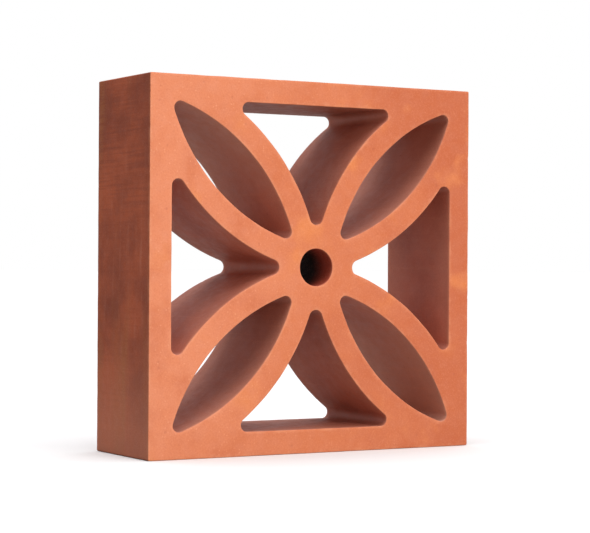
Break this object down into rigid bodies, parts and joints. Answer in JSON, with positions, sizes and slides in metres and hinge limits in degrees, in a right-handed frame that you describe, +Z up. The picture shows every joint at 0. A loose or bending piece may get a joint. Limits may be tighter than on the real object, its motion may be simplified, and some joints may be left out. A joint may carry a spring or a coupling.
{
  "type": "jali block",
  "caption": "Square fired clay screen block with leaf-shaped petals on its diagonals, three-sided openings between them and a round centre hole; lets air and light through a wall.",
  "frame": {"origin": "middle of the lower bed face, on the surface that the block stands on", "axes": "+Z up; +X across the face, to the right as seen from the front; +Y through the depth, from the front face to the back face"},
  "size_m": [0.2, 0.0636, 0.2],
  "materials": {
    "terracotta": "matt fired clay, orange-red, unglazed"
  },
  "bodies": {
    "root": {"jali_block": "terracotta"}
  },
  "joints": []
}
